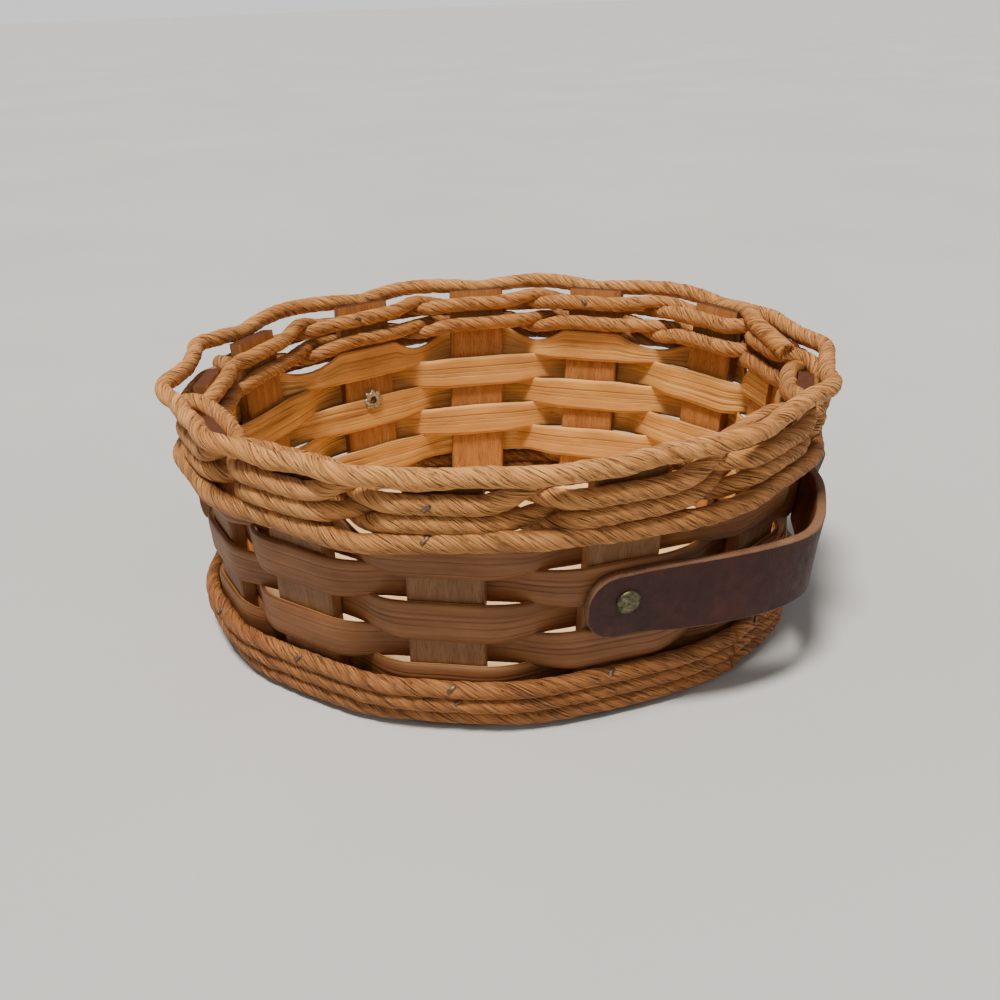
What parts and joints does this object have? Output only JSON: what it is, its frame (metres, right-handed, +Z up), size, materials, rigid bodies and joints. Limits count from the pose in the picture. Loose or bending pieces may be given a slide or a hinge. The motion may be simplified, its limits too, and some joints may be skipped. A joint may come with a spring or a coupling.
{
  "type": "casserole carrier basket",
  "caption": "Round open basket for carrying a casserole dish: flat board floor, upright slats, spiral splint weave, twined cord rim and foot, and a riveted leather strap handle on each side.",
  "frame": {"origin": "centre of the underside, on the floor it stands on", "axes": "+Z up out of the mouth, +X towards the right handle through both handles, +Y completes the right-handed set"},
  "size_m": [0.2571, 0.2449, 0.0954],
  "materials": {
    "board": "smooth pale board, waxed",
    "stave": "stained open-grained slats, satin",
    "splint": "stained flat splint, creased, satin",
    "foot_cord": "twisted fibre cord, darkened with age",
    "rim_cord": "twisted fibre cord, dry",
    "leather": "worn oxblood grain with raw edges",
    "brass": "antique, dull"
  },
  "bodies": {
    "basket": {"base_board": "board", "stave_01": "stave", "stave_02": "stave", "stave_03": "stave", "stave_04": "stave", "stave_05": "stave", "stave_06": "stave", "stave_07": "stave", "stave_08": "stave", "stave_09": "stave", "stave_10": "stave", "stave_11": "stave", "stave_12": "stave", "stave_13": "stave", "weaver_length_1": "splint", "weaver_length_2": "splint", "weaver_length_3": "splint", "weaver_length_4": "splint", "weaver_length_5": "splint", "base_cord_lower": "foot_cord", "base_cord_middle": "foot_cord", "base_cord_upper": "foot_cord", "rim_cord_bottom": "rim_cord", "rim_twine_upper_1": "rim_cord", "rim_twine_upper_2": "rim_cord", "rim_twine_lower_1": "rim_cord", "rim_twine_lower_2": "rim_cord", "rim_cord_top": "rim_cord", "right_handle_rivet_near": "brass", "right_handle_rivet_far": "brass", "left_handle_rivet_near": "brass", "left_handle_rivet_far": "brass"},
    "right_handle": {"right_handle_strap": "leather"},
    "left_handle": {"left_handle_strap": "leather"}
  },
  "joints": [
    {"name": "right_handle_swing", "type": "hinge", "parent": "basket", "child": "right_handle", "pos_m": [0.10009, -0.01118, 0.04505], "axis": [-0.1274, -0.9912, -0.0362], "range_deg": [-10, 25], "stiffness_Nm_per_rad": 0.15, "deforming": ["right_handle_strap"]},
    {"name": "left_handle_swing", "type": "hinge", "parent": "basket", "child": "left_handle", "pos_m": [-0.09756, -0.01083, 0.04505], "axis": [-0.1206, 0.992, 0.0372], "range_deg": [-10, 25], "stiffness_Nm_per_rad": 0.15, "deforming": ["left_handle_strap"]}
  ]
}
